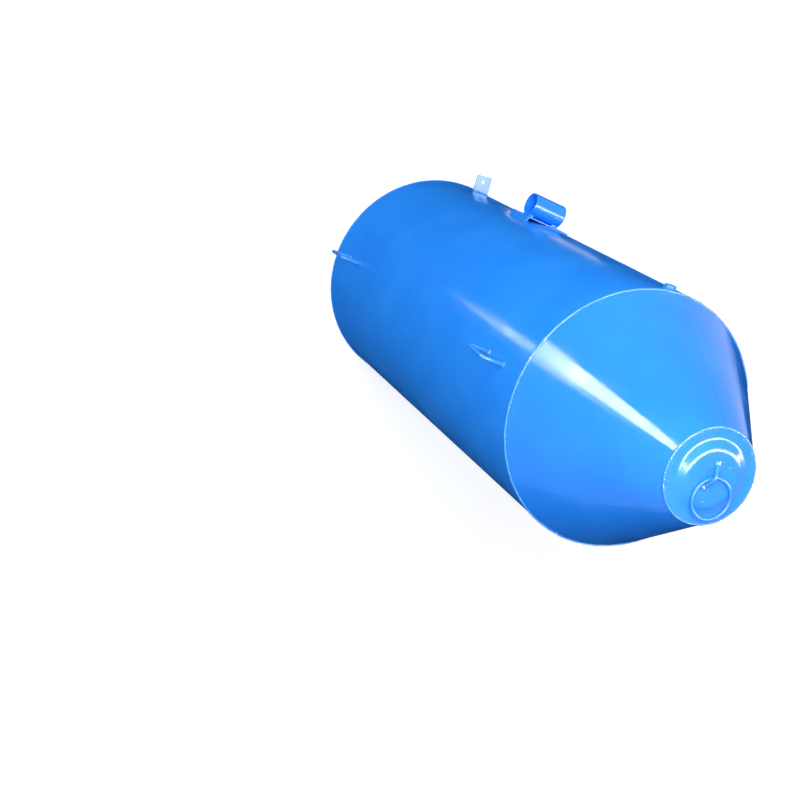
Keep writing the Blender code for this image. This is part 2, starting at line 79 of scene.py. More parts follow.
class FloatSizes(bpy.types.PropertyGroup):
    drum_radius: FloatProperty(
        name="Drum radius",
        description="Outside radius of the rolled drum",
        default=round(high("drum_shell")[0], 4),
        unit="LENGTH",
    )
    drum_rear: FloatProperty(
        name="Drum rear",
        description="Level of the drum's rear edge",
        default=round(low("drum_shell")[2], 4),
        unit="LENGTH",
    )
    rim: FloatProperty(
        name="Rim",
        description="Level of the drum's front edge, where the nose cone starts",
        default=round(high("drum_shell")[2], 4),
        unit="LENGTH",
    )
    sheet: FloatProperty(
        name="Sheet",
        description="Thickness of the drum's and the cone's sheet",
        default=0.002,
        unit="LENGTH",
    )
    cone_front: FloatProperty(
        name="Cone front",
        description="Level of the cone's front edge",
        default=round(high("nose_cone")[2], 4),
        unit="LENGTH",
    )
    cone_end: FloatProperty(
        name="Cone end radius",
        description="Radius of the cone's front edge",
        default=0.1035,
        unit="LENGTH",
    )
    cap_radius: FloatProperty(
        name="Cap radius",
        description="Radius of the pressed cap",
        default=round(high("nose_cap")[0], 4),
        unit="LENGTH",
    )
    crown_radius: FloatProperty(
        name="Crown radius",
        description="Radius of the cap's flat crown, out to the middle of its bend",
        default=0.0605,
        unit="LENGTH",
    )
    cap_slope: FloatProperty(
        name="Cap slope",
        description="How far the cap's slope reaches from the crown to the flat edge",
        default=0.020,
        unit="LENGTH",
    )
    cap_rise: FloatProperty(
        name="Cap rise",
        description="Height of the crown over the cap's edge",
        default=0.009,
        unit="LENGTH",
    )
    handle_rod: FloatProperty(
        name="Handle rod",
        description="Thickness of the rod that the handles are bent from",
        default=0.0085,
        unit="LENGTH",
    )
    handle_bend: FloatProperty(
        name="Handle bend",
        description="Radius of the handles' bends, to the rod's middle",
        default=0.011,
        unit="LENGTH",
    )
    ring_radius: FloatProperty(
        name="Ring radius",
        description="Radius of the mooring ring, to the middle of its wire",
        default=0.0445,
        unit="LENGTH",
    )
    ring_wire: FloatProperty(
        name="Ring wire",
        description="Thickness of the mooring ring's wire",
        default=0.007,
        unit="LENGTH",
    )
    round_sides: IntProperty(
        name="Round sides",
        description="Sides of the drum, the cone and the large welds",
        default=288,
        min=48,
    )


class FloatPaint(bpy.types.PropertyGroup):
    drum_colour: FloatVectorProperty(
        name="Drum colour",
        description="Blue enamel on the drum and its fittings",
        default=(0.018, 0.270, 1.000),
        subtype="COLOR",
        min=0,
        max=1,
    )
    nose_colour: FloatVectorProperty(
        name="Nose colour",
        description="Blue enamel on the nose cone",
        default=(0.016, 0.236, 0.930),
        subtype="COLOR",
        min=0,
        max=1,
    )
    # Lighter than the cone's blue that the welds wear: a painted highlight that makes the weld
    # lines and the spatter read paler
    bead_highlight_colour: FloatVectorProperty(
        name="Bead colour",
        description="Enamel on the weld beads and the spatter",
        default=(0.036, 0.310, 0.950),
        subtype="COLOR",
        min=0,
        max=1,
    )
    rust_colour: FloatVectorProperty(
        name="Rust colour",
        description="Rust that comes through at bends and edges",
        default=(0.170, 0.062, 0.030),
        subtype="COLOR",
        min=0,
        max=1,
    )
    cap_colour: FloatVectorProperty(
        name="Cap colour",
        description="Blue enamel on the cap, the ring, the bent rods and the plug",
        default=(0.030, 0.285, 0.950),
        subtype="COLOR",
        min=0,
        max=1,
    )
    # Paler than the rest of the blue enamel: a painted reflection of the bright light that the
    # tab's face catches
    tab_reflection_colour: FloatVectorProperty(
        name="Tab colour",
        description="Blue enamel on the tab, painted paler as a reflection",
        default=(0.25, 0.53, 0.88),
        subtype="COLOR",
        min=0,
        max=1,
    )


class FloatStage(bpy.types.PropertyGroup):
    key_power: FloatProperty(
        name="Key lamp",
        description="Power of the large soft lamp in front of the nose",
        default=130,
        unit="POWER",
    )
    shine: FloatProperty(
        name="Shine",
        description="Brightness of the lamps that only draw highlights on the enamel",
        default=40,
    )
    sky: FloatProperty(
        name="Sky",
        description="Strength of the light from all round",
        default=0.55,
    )
    floor_colour: FloatVectorProperty(
        name="Floor colour",
        description="Colour of the floor",
        default=(0.62, 0.62, 0.62),
        subtype="COLOR",
        min=0,
        max=1,
    )


def middle_of(node):
    return (Vector(low(node)) + Vector(high(node))) / 2


def sizes():
    return bpy.context.scene.float_sizes


def paint():
    return bpy.context.scene.float_paint


def new_object(name, data):
    made = bpy.data.objects.new(name, data)
    bpy.context.scene.collection.objects.link(made)
    return made


# Selecting and shaping


def select_none():
    bpy.ops.object.select_all(action="DESELECT")


def only(piece):
    if bpy.context.mode != "OBJECT":
        bpy.ops.object.mode_set(mode="OBJECT")
    select_none()
    piece.select_set(True)
    bpy.context.view_layer.objects.active = piece


def added(name):
    """The primitive that was just added, under its own name and with its place in its mesh."""
    piece = bpy.context.object
    piece.name = name
    piece.data.name = name
    only(piece)
    bpy.ops.object.transform_apply(location=True, rotation=True, scale=True)
    return piece


def edit(piece, choose=None):
    """Edit mode with all of the piece selected, or only the vertices that choose takes."""
    only(piece)
    bpy.ops.object.mode_set(mode="EDIT")
    bpy.ops.mesh.select_mode(type="VERT")
    bpy.ops.mesh.select_all(action="SELECT")
    if choose:
        bpy.ops.mesh.select_all(action="DESELECT")
        bpy.ops.object.mode_set(mode="OBJECT")
        for vertex in piece.data.vertices:
            vertex.select = choose(vertex.co)
        bpy.ops.object.mode_set(mode="EDIT")


def on_circle(radius, level, near=0.0004):
    """Picks the vertices on a circle round the float's axis."""
    return lambda co: abs(hypot(co.x, co.y) - radius) < near and abs(co.z - level) < near


def done(piece, tidy=False):
    if tidy:
        bpy.ops.mesh.select_all(action="SELECT")
        bpy.ops.mesh.remove_doubles(threshold=0.00001)
        bpy.ops.mesh.normals_make_consistent(inside=False)
    bpy.ops.object.mode_set(mode="OBJECT")
    only(piece)


def modified(piece, name, kind, **values):
    change = piece.modifiers.new(name, kind)
    for key, value in values.items():
        setattr(change, key, value)
    only(piece)
    bpy.ops.object.modifier_apply(modifier=change.name)


def softened(piece, width, angle=35):
    """Small rounded edges, as paint and a file leave them."""
    modified(
        piece,
        "edges",
        "BEVEL",
        width=width,
        segments=2,
        limit_method="ANGLE",
        angle_limit=radians(angle),
        harden_normals=False,
    )


def smooth(piece, angle, flats=False):
    """Rounds the shading; with flats, large faces stay flat beside their bends."""
    only(piece)
    bpy.ops.object.shade_smooth_by_angle(angle=radians(angle))
    if flats:
        modified(piece, "flats", "WEIGHTED_NORMAL", keep_sharp=True, weight=100)


def rippled(piece, size, height, middle=0.5):
    """An uneven surface, as a weld or thick paint has it."""
    texture = bpy.data.textures.new(piece.name + " ripples", "CLOUDS")
    texture.noise_scale = size
    texture.noise_depth = 1
    modified(
        piece,
        "ripples",
        "DISPLACE",
        texture=texture,
        texture_coords="LOCAL",
        strength=height,
        mid_level=middle,
    )
    bpy.data.textures.remove(texture)


def placed(piece, matrix):
    """Moves the finished piece to its place, with the place in its mesh."""
    piece.matrix_world = matrix
    only(piece)
    bpy.ops.object.transform_apply(location=True, rotation=True, scale=True)


def fitted(piece, body, slot, material, *nodes):
    """Gives the piece its enamel and its body, and hides the plain solids that it stands for."""
    piece.data.materials.clear()
    piece.data.materials.append(material)
    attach(piece, body)
    if nodes:
        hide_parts(*nodes)


def joined(pieces, name):
    select_none()
    for piece in pieces:
        piece.select_set(True)
    bpy.context.view_layer.objects.active = pieces[0]
    bpy.ops.object.join()
    return added(name)


def copy_of_node(node, name):
    """A copy of a plain solid with its loose triangles merged into whole faces."""
    piece = new_object(name, NODES[node].data.copy())
    piece.data.name = name
    edit(piece)
    bpy.ops.mesh.remove_doubles(threshold=0.00002)
    bpy.ops.mesh.customdata_custom_splitnormals_clear()
    bpy.ops.mesh.dissolve_limited(angle_limit=radians(1))
    done(piece, tidy=True)
    return piece


def sliced(piece, places, direction):
    """Cuts the piece across into rows of faces."""
    edit(piece)
    for place in places:
        bpy.ops.mesh.select_all(action="SELECT")
        bpy.ops.mesh.bisect(plane_co=place, plane_no=direction)
    done(piece, tidy=True)


def cut_foot(piece):
    """Takes off what lies under the surface that the piece is welded to."""
    edit(piece)
    bpy.ops.mesh.bisect(
        plane_co=(0, 0, FOOT_CUT), plane_no=(0, 0, 1), clear_inner=True, use_fill=True
    )
    done(piece, tidy=True)


def finished_copy(node, name, width, slot, finish):
    """A folded or machined piece in its solid's own shape, with its edges softened."""
    piece = copy_of_node(node, name)
    softened(piece, width, angle=40)
    smooth(piece, 40, flats=True)
    fitted(piece, "float", slot, ENAMEL[finish], node)


def hand_fillet(node, cuts):
    """A weld fillet rounded and made uneven, as it comes from the rod."""
    bead = copy_of_node(node, node + "_bead")
    edit(bead)
    bpy.ops.mesh.quads_convert_to_tris()
    bpy.ops.mesh.subdivide(number_cuts=cuts)
    bpy.ops.mesh.vertices_smooth(factor=0.5, repeat=2)
    done(bead)
    rippled(bead, 0.007, 0.0026, middle=0.45)
    smooth(bead, 80)
    fitted(bead, "float", "light_blue_enamel", ENAMEL["bead"], node)


def on_drum(angle, level, radius):
    """A frame on the drum's side: its Z points out, its Y along the float and its X across."""
    turn = Matrix.Rotation(radians(angle), 4, "Z") @ Matrix.Rotation(pi / 2, 4, "X")
    out = Matrix.Rotation(radians(angle), 4, "Z") @ Vector((0, -radius, 0))
    return Matrix.Translation(out + Vector((0, 0, level))) @ turn


def boss_place(lift=0.0):
    """The place on the drum's side where the plug's boss is let in."""
    middle = middle_of("plug_boss")
    angle = degrees(asin(middle.x / hypot(middle.x, middle.y)))
    return on_drum(angle, middle.z, sizes().drum_radius + lift)


def cap_face(size):
    """The level of the cap's flat edge, round its crown."""
    return high("nose_cap")[2] - size.cap_rise


def cone_slope(size):
    """How much the cone's radius shrinks for each metre along the float."""
    return (size.drum_radius - size.cone_end) / (size.cone_front - low("nose_cone")[2])


def blob(name, size, seed, ripple=0.0, segments=24, rings=14):
    """A lump of weld metal: a flattened ball with an uneven skin."""
    select_none()
    bpy.ops.mesh.primitive_uv_sphere_add(segments=segments, ring_count=rings, radius=0.5)
    piece = added(name)
    edit(piece)
    bpy.ops.transform.resize(value=size, center_override=(0, 0, 0))
    done(piece)
    if ripple:
        # Each lump is rippled at its own place in the pattern
        aside = Vector((seed * 0.031, seed * 0.017, 0))
        piece.data.transform(Matrix.Translation(aside))
        rippled(piece, 0.0055, ripple)
        piece.data.transform(Matrix.Translation(-aside))
    return piece


def weld_lump(node, size, seed, ripple, place, finish, seated=True):
    """The lump that stands for a small weld, cut flat where it is seated on a surface."""
    lump = blob(node + "_bead", size, seed, ripple)
    if seated:
        cut_foot(lump)
    smooth(lump, 60)
    placed(lump, place)
    fitted(lump, "float", "light_blue_enamel", ENAMEL[finish], node)


def bent_rod(name, thickness, start, moves):
    """A rod drawn from a filled circle by straight runs and bends, as a bender makes it."""
    location, rotation = start
    select_none()
    bpy.ops.mesh.primitive_circle_add(
        vertices=16, radius=thickness / 2, fill_type="NGON", location=location, rotation=rotation
    )
    piece = added(name)
    edit(piece)
    bpy.ops.mesh.select_mode(type="FACE")
    bpy.ops.mesh.select_all(action="SELECT")
    for kind, *values in moves:
        if kind == "run":
            bpy.ops.mesh.extrude_region_move(TRANSFORM_OT_translate={"value": values[0]})
        else:
            # A spin turns against its axis
            angle, centre, axis = values
            bpy.ops.mesh.spin(steps=8, angle=-angle, center=centre, axis=axis)
    bpy.ops.mesh.select_mode(type="VERT")
    done(piece, tidy=True)
    return piece


# Enamel


def node_group(name, inputs, outputs):
    tree = bpy.data.node_groups.new(name, "ShaderNodeTree")
    for label, default in inputs:
        socket = tree.interface.new_socket(label, in_out="INPUT", socket_type="NodeSocketFloat")
        socket.default_value = default
    for label in outputs:
        tree.interface.new_socket(label, in_out="OUTPUT", socket_type="NodeSocketFloat")
    return tree, tree.nodes.new("NodeGroupInput"), tree.nodes.new("NodeGroupOutput")


def maths(tree, operation, first, second, clamp=False):
    node = tree.nodes.new("ShaderNodeMath")
    node.operation = operation
    node.use_clamp = clamp
    for socket, value in zip(node.inputs, (first, second)):
        if isinstance(value, (int, float)):
            socket.default_value = value
        else:
            tree.links.new(value, socket)
    return node.outputs[0]


def noise(tree, vector, scale, detail=2.0, roughness=0.5):
    node = tree.nodes.new("ShaderNodeTexNoise")
    node.inputs["Detail"].default_value = detail
    node.inputs["Roughness"].default_value = roughness
    if isinstance(scale, (int, float)):
        node.inputs["Scale"].default_value = scale
    else:
        tree.links.new(scale, node.inputs["Scale"])
    tree.links.new(vector, node.inputs["Vector"])
    return node.outputs["Fac"]


def ramp(tree, value, start, end, low_value=0.0, high_value=1.0):
    node = tree.nodes.new("ShaderNodeMapRange")
    node.interpolation_type = "SMOOTHSTEP"
    node.inputs["From Min"].default_value = start
    node.inputs["From Max"].default_value = end
    node.inputs["To Min"].default_value = low_value
    node.inputs["To Max"].default_value = high_value
    tree.links.new(value, node.inputs["Value"])
    return node.outputs["Result"]


def around_axis(tree, stretch):
    """Where a point lies round the float, drawn out along it, so that a pattern runs lengthwise."""
    place = tree.nodes.new("ShaderNodeTexCoord").outputs["Object"]
    parts = tree.nodes.new("ShaderNodeSeparateXYZ")
    tree.links.new(place, parts.inputs[0])
    flat = tree.nodes.new("ShaderNodeCombineXYZ")
    tree.links.new(parts.outputs["X"], flat.inputs["X"])
    tree.links.new(parts.outputs["Y"], flat.inputs["Y"])
    unit = tree.nodes.new("ShaderNodeVectorMath")
    unit.operation = "NORMALIZE"
    tree.links.new(flat.outputs[0], unit.inputs[0])
    along = tree.nodes.new("ShaderNodeCombineXYZ")
    tree.links.new(maths(tree, "MULTIPLY", parts.outputs["Z"], stretch), along.inputs["Z"])
    both = tree.nodes.new("ShaderNodeVectorMath")
    both.operation = "ADD"
    tree.links.new(unit.outputs[0], both.inputs[0])
    tree.links.new(along.outputs[0], both.inputs[1])
    return both.outputs[0]


def rolled_sheet_group():
    """Faint lengthwise flats from the rolls, and slow waves between them."""
    tree, given, result = node_group("Rolled sheet", [("Flats", 9.0)], ["Height"])
    flats = noise(tree, around_axis(tree, 0.35), given.outputs["Flats"], detail=1.0)
    place = tree.nodes.new("ShaderNodeTexCoord").outputs["Object"]
    waves = maths(tree, "MULTIPLY", noise(tree, place, 6.0, detail=1.0), 0.35)
    tree.links.new(maths(tree, "ADD", flats, waves), result.inputs["Height"])
    return tree


def brushed_enamel_group():
    """Thick enamel: its orange peel, brush marks that run lengthwise, and an uneven coat."""
    tree, given, result = node_group(
        "Brushed enamel", [("Peel scale", 240.0), ("Brush", 0.4)], ["Height", "Coat", "Gloss"]
    )
    place = tree.nodes.new("ShaderNodeTexCoord").outputs["Object"]
    peel = noise(tree, place, given.outputs["Peel scale"], detail=2.0)
    brush = noise(tree, around_axis(tree, 0.5), 34.0, detail=3.0, roughness=0.6)
    strokes = maths(tree, "MULTIPLY", brush, given.outputs["Brush"])
    height = maths(tree, "ADD", maths(tree, "MULTIPLY", peel, 0.7), strokes)
    tree.links.new(height, result.inputs["Height"])
    clouds = maths(tree, "MULTIPLY", noise(tree, place, 5.5, detail=3.0), 0.8)
    coat = maths(tree, "ADD", clouds, maths(tree, "MULTIPLY", strokes, 0.5))
    tree.links.new(ramp(tree, coat, 0.32, 0.68), result.inputs["Coat"])
    gloss = noise(tree, place, 13.0, detail=4.0, roughness=0.6)
    tree.links.new(ramp(tree, gloss, 0.35, 0.7), result.inputs["Gloss"])
    return tree


def rust_specks_group():
    """Small specks where the enamel is chipped through."""
    tree, given, result = node_group("Rust specks", [("Amount", 0.1)], ["Mask"])
    place = tree.nodes.new("ShaderNodeTexCoord").outputs["Object"]
    fine = maths(tree, "MULTIPLY", noise(tree, place, 150.0, detail=3.0, roughness=0.65), 0.55)
    where = maths(tree, "MULTIPLY", noise(tree, place, 21.0, detail=1.0), 0.45)
    spread = maths(tree, "MULTIPLY", given.outputs["Amount"], 0.35)
    level = maths(tree, "ADD", maths(tree, "ADD", fine, where), spread)
    tree.links.new(ramp(tree, level, 0.70, 0.73), result.inputs["Mask"])
    return tree


def weld_ripples_group():
    """The overlapping ripples of a hand weld."""
    tree, given, result = node_group("Weld ripples", [("Scale", 330.0)], ["Height"])
    place = tree.nodes.new("ShaderNodeTexCoord").outputs["Object"]
    cells = tree.nodes.new("ShaderNodeTexVoronoi")
    cells.feature = "SMOOTH_F1"
    tree.links.new(given.outputs["Scale"], cells.inputs["Scale"])
    tree.links.new(place, cells.inputs["Vector"])
    tree.links.new(maths(tree, "SUBTRACT", 1.0, cells.outputs["Distance"]), result.inputs["Height"])
    return tree


def new_material(name, values):
    """A material, its nodes and its shader, with plain values on the shader's own sockets."""
    made = bpy.data.materials.new(name)
    made.use_nodes = True
    shader = made.node_tree.nodes["Principled BSDF"]
    for key, value in values.items():
        shader.inputs[key].default_value = value
    return made, made.node_tree, shader


def place_group(tree, group, **values):
    node = tree.nodes.new("ShaderNodeGroup")
    node.node_tree = group
    node.label = group.name
    for key, value in values.items():
        node.inputs[key.replace("_", " ").capitalize()].default_value = value
    return node


def colour_mix(tree, mask, first, second):
    """The first colour, and the second one where the mask is 1."""
    node = tree.nodes.new("ShaderNodeMix")
    node.data_type = "RGBA"
    tree.links.new(mask, node.inputs["Factor"])
    node.inputs["B"].default_value = (*second, 1)
    if isinstance(first, tuple):
        node.inputs["A"].default_value = (*first, 1)
    else:
        tree.links.new(first, node.inputs["A"])
    return node.outputs["Result"]


def enamel(
    name,
    colour,
    shine=0.25,
    sheet=0.0,
    flats=7.0,
    peel=0.25,
    brush=0.0,
    beads=0.0,
    rust=0.0,
    contrast=0.06,
    rough=(0.14, 0.26),
    grain=240.0,
):
    """Glossy blue enamel over steel, with the marks that its piece shows."""
    made, tree, shader = new_material(name, {"Metallic": 0.0, "Specular IOR Level": shine})
    coat = place_group(tree, GROUPS["enamel"], brush=brush, peel_scale=grain)
    thin = tuple(channel * (1 - contrast) for channel in colour)
    thick = tuple(min(channel * (1 + contrast) + 0.004, 1) for channel in colour)
    tint = colour_mix(tree, coat.outputs["Coat"], thin, thick)
    finish = ramp(tree, coat.outputs["Gloss"], 0.0, 1.0, rough[0], rough[1])
    if rust:
        specks = place_group(tree, GROUPS["rust"], amount=rust)
        tint = colour_mix(tree, specks.outputs["Mask"], tint, paint().rust_colour)
        dull = maths(tree, "MULTIPLY", specks.outputs["Mask"], 0.5)
        finish = maths(tree, "ADD", finish, dull, clamp=True)
    tree.links.new(tint, shader.inputs["Base Color"])
    tree.links.new(finish, shader.inputs["Roughness"])

    # Each layer of relief: its height, its strength and its depth in metres
    normal = None
    layers = [(coat.outputs["Height"], peel, 0.0004)]
    if sheet:
        rolled = place_group(tree, GROUPS["sheet"], flats=flats)
        layers.append((rolled.outputs["Height"], sheet, 0.02))
    if beads:
        ripples = place_group(tree, GROUPS["weld"])
        layers.append((ripples.outputs["Height"], beads, 0.0012))
    for height, strength, distance in layers:
        bump = tree.nodes.new("ShaderNodeBump")
        bump.inputs["Strength"].default_value = strength
        bump.inputs["Distance"].default_value = distance
        tree.links.new(height, bump.inputs["Height"])
        if normal:
            tree.links.new(normal, bump.inputs["Normal"])
        normal = bump.outputs["Normal"]
    tree.links.new(normal, shader.inputs["Normal"])
    return made


GROUPS = {}
ENAMEL = {}


class FLOAT_OT_enamel(bpy.types.Operator):
    """Mix the enamels that the float's pieces are painted with"""

    bl_idname = "float.enamel"
    bl_label = "Enamels"

    def execute(self, context):
        GROUPS.update(
            sheet=rolled_sheet_group(),
            enamel=brushed_enamel_group(),
            rust=rust_specks_group(),
            weld=weld_ripples_group(),
        )
        colours = paint()
        drum = colours.drum_colour
        cap = colours.cap_colour
        satin = (0.2, 0.34)
        ENAMEL.update(
            drum=enamel(
                "drum enamel", drum, sheet=0.04, flats=6.0, peel=0.30, brush=0.3,
                rough=(0.13, 0.22), grain=140.0,
            ),
            plate=enamel("rear plate enamel", drum, sheet=0.04, peel=0.25, rust=0.06),
            cone=enamel(
                "cone enamel", colours.nose_colour, sheet=0.05, peel=0.42, brush=0.2,
                rough=(0.11, 0.20), grain=130.0,
            ),
            cap=enamel("cap enamel", cap, peel=0.40, rough=(0.12, 0.22), grain=160.0),
            # The tab's pale colour is a painted reflection of bright light on its face
            tab=enamel(
                "tab enamel with painted reflection", colours.tab_reflection_colour, shine=0.2, peel=0.5, rust=0.05,
                contrast=0.22, rough=(0.25, 0.4), grain=200.0,
            ),
            saddle=enamel("saddle enamel", drum, shine=0.2, peel=0.35, rust=0.03, rough=satin),
            tube=enamel(
                "tube enamel", drum, shine=0.35, peel=0.45, rust=0.03, rough=satin, grain=150.0
            ),
            ring=enamel("ring enamel", cap, shine=0.4, peel=0.40, rust=0.04, rough=(0.22, 0.34)),
            rod=enamel("rod enamel", cap, shine=0.8, peel=0.40, rust=0.36, rough=(0.2, 0.32)),
            foot=enamel("foot weld enamel", cap, shine=0.5, peel=0.4, beads=0.5, rust=0.05),
            # The beads' lighter blue is a painted highlight along the welds and on the spatter
            bead=enamel(
                "bead enamel with painted highlight", colours.bead_highlight_colour, shine=0.8, peel=0.3, beads=0.8,
                rust=0.02, rough=(0.08, 0.18),
            ),
        )
        return {"FINISHED"}


class FLOAT_OT_drum(bpy.types.Operator):
    """Roll the drum's sheet, cut it for the plug's boss and close its rear"""

    bl_idname = "float.drum"
    bl_label = "Drum"

    def execute(self, context):
        size = sizes()
        length = size.rim - size.drum_rear
        select_none()
        bpy.ops.mesh.primitive_cylinder_add(
            vertices=size.round_sides,
            radius=size.drum_radius,
            depth=length,
            end_fill_type="NOTHING",
            location=(0, 0, size.drum_rear + length / 2),
        )
        drum = added("drum_sheet")
        sliced(drum, [(0, 0, level) for level in (0.03, 0.30, 0.70, 1.10, 1.19)], (0, 0, 1))
        modified(drum, "sheet", "SOLIDIFY", thickness=size.sheet, offset=-1)

        select_none()
        bpy.ops.mesh.primitive_cylinder_add(vertices=48, radius=BOSS_HOLE_RADIUS, depth=0.04)
        cutter = added("boss_cutter")
        placed(cutter, boss_place())
        modified(
            drum, "boss hole", "BOOLEAN", operation="DIFFERENCE", solver="EXACT", object=cutter
        )
        bpy.data.objects.remove(cutter)
        smooth(drum, 30)
        fitted(drum, "float", "blue_enamel", ENAMEL["drum"], "drum_shell")

        thickness = high("rear_plate")[2]
        select_none()
        bpy.ops.mesh.primitive_cylinder_add(
            vertices=size.round_sides,
            radius=round(high("rear_plate")[0], 4),
            depth=thickness,
            location=(0, 0, thickness / 2),
        )
        plate = added("rear_disc")
        softened(plate, 0.0005)
        smooth(plate, 30, flats=True)
        fitted(plate, "float", "blue_enamel", ENAMEL["plate"], "rear_plate")
        return {"FINISHED"}


class FLOAT_OT_nose(bpy.types.Operator):
    """Roll the nose cone and press the cap that closes it"""

    bl_idname = "float.nose"
    bl_label = "Nose"

    def execute(self, context):
        size = sizes()
        rear = low("nose_cone")[2]
        length = size.cone_front - rear
        select_none()
        bpy.ops.mesh.primitive_cone_add(
            vertices=size.round_sides,
            radius1=size.drum_radius,
            radius2=size.cone_end,
            depth=length,
            end_fill_type="NOTHING",
            location=(0, 0, rear + length / 2),
        )
        cone = added("cone_sheet")
        levels = [rear + length * share for share in (0.04, 0.35, 0.7, 0.96)]
        sliced(cone, [(0, 0, level) for level in levels], (0, 0, 1))
        modified(cone, "sheet", "SOLIDIFY", thickness=size.sheet, offset=-1)
        smooth(cone, 30)
        fitted(cone, "float", "light_blue_enamel", ENAMEL["cone"], "nose_cone")
        self.cap(size)
        return {"FINISHED"}

    def cap(self, size):
        """A disc whose middle is pressed up to a flat crown."""
        crown = high("nose_cap")[2]
        face = cap_face(size)
        foot = size.crown_radius + size.cap_slope
        thickness = face - low("nose_cap")[2]
        select_none()
        bpy.ops.mesh.primitive_circle_add(
            vertices=192, radius=size.cap_radius, fill_type="NGON", location=(0, 0, face)
        )
        cap = added("pressed_cap")
        edit(cap)
        bpy.ops.mesh.select_mode(type="FACE")
        bpy.ops.mesh.select_all(action="SELECT")
        bpy.ops.mesh.inset(thickness=size.cap_radius - foot)
        bpy.ops.mesh.inset(thickness=size.cap_slope)
        bpy.ops.transform.translate(value=(0, 0, size.cap_rise))
        for step in (0.014, 0.016, 0.016):
            bpy.ops.mesh.inset(thickness=step)
        done(cap)
        for radius, level, bend in ((size.crown_radius, crown, 0.0055), (foot, face, 0.0040)):
            edit(cap, on_circle(radius, level))
            bpy.ops.mesh.bevel(offset=bend, segments=10, affect="EDGES")
            done(cap)
        modified(cap, "plate", "SOLIDIFY", thickness=thickness, offset=-1)
        softened(cap, 0.0006, angle=50)
        smooth(cap, 40, flats=True)
        fitted(cap, "float", "light_blue_enamel", ENAMEL["cap"], "nose_cap")


class FLOAT_OT_ring(bpy.types.Operator):
    """Bend the staple on the cap, weld on its feet and hang the mooring ring in it"""

    bl_idname = "float.ring"
    bl_label = "Staple and ring"

    def execute(self, context):
        size = sizes()
        # The staple sits a little off the cap's middle and is turned a little
        place = Matrix.Translation((0.0065, -0.0038, high("nose_cap")[2]))
        seat = place @ Matrix.Rotation(radians(-6), 4, "Z")
        self.staple(seat)
        self.ring(size)
        return {"FINISHED"}

    def staple(self, seat):
        """Two straight legs that lean together and meet in a bend over the ring's wire."""
        # Half the span between its feet, and how far a leg runs on under the cut at its foot
        half = 0.0275
        sunk = 0.003
        rod = 0.008
        rise = 0.0165
        bend = 0.010
        slope = (rise + bend * (hypot(1, rise / half) - 1)) / half
        lean = atan(slope)
        run = (half - bend * sin(lean)) / cos(lean)
        foot = Vector((0, half, 0))
        along = Vector((0, -cos(lean), sin(lean)))
        top = foot + along * run
        centre = top + Vector((0, -sin(lean), -cos(lean))) * bend
        start = foot - along * sunk
        staple = bent_rod(
            "bent_staple",
            rod,
            (start, (pi / 2 - lean, 0, 0)),
            [
                ("run", along * (run + sunk)),
                ("bend", 2 * lean, centre, (1, 0, 0)),
                ("run", Vector((0, -cos(lean), -sin(lean))) * (run + sunk)),
            ],
        )
        rippled(staple, 0.006, 0.0006)
        cut_foot(staple)
        smooth(staple, 40)
        placed(staple, seat)
        fitted(staple, "float", "blue_enamel", ENAMEL["ring"], "ring_staple")
        lump = (0.0145, 0.0160, 0.0090)
        for node, end, seed in (("staple_weld_front", -half, 3), ("staple_weld_back", half, 5)):
            place = seat @ Matrix.Translation((0, end, 0))
            weld_lump(node, lump, seed, 0.0038, place, "bead")

    def ring(self, size):
        """A closed wire ring that lies to one side of the bar it hangs from."""
        joint = frame["joints"][0]
        pivot = Vector(joint["pos_m"])
        axis = Vector(joint["axis"]).normalized()
        far = axis.cross(Vector((0, 0, 1)))
        if far.dot(middle_of("mooring_ring") - pivot) < 0:
            far = -far
        select_none()
        bpy.ops.mesh.primitive_torus_add(
            major_radius=size.ring_radius,
            minor_radius=size.ring_wire / 2,
            major_segments=120,
            minor_segments=16,
        )
        ring = added("bent_ring")
        rippled(ring, 0.012, 0.0006)
        smooth(ring, 60)
        placed(ring, Matrix.Translation(pivot + far * size.ring_radius))
        fitted(ring, "ring", "blue_enamel", ENAMEL["ring"], "mooring_ring")


class FLOAT_OT_handles(bpy.types.Operator):
    """Bend the two lifting handles and weld their feet to the drum"""

    bl_idname = "float.handles"
    bl_label = "Handles"

    def execute(self, context):
        for name, angle, skew, level, seed in (
            ("handle_front", 90.0, 3.0, 1.1253, 11),
            ("handle_rear", 92.5, -1.5, 0.1503, 23),
        ):
            self.handle(name, angle, skew, level, seed)
        return {"FINISHED"}

    def handle(self, name, angle, skew, level, seed):
        """A handle at an angle and a level on the drum, turned a little askew."""
        size = sizes()
        bend = size.handle_bend
        # Half the span between its feet
        half = 0.042
        height = 0.058
        leg = height - bend
        loop = bent_rod(
            name + "_loop",
            size.handle_rod,
            ((0, half, 0.0004), (0, 0, 0)),
            [
                ("run", (0, 0, leg)),
                ("bend", pi / 2, (0, half - bend, leg), (1, 0, 0)),
                ("run", (0, 2 * bend - 2 * half, 0)),
                ("bend", pi / 2, (0, bend - half, leg), (1, 0, 0)),
                ("run", (0, 0, -leg)),
            ],
        )
        rippled(loop, 0.011, 0.0007)
        smooth(loop, 40)
        seat = on_drum(angle, level, size.drum_radius) @ Matrix.Rotation(radians(-skew), 4, "Z")
        placed(loop, seat)
        fitted(loop, "float", "blue_enamel", ENAMEL["rod"], name)
        lump = (0.0155, 0.0170, 0.0105)
        for end, side in (("front", 1), ("rear", -1)):
            place = seat @ Matrix.Translation((0, side * half, 0))
            weld_lump(name + "_weld_" + end, lump, seed + side, 0.0040, place, "foot")


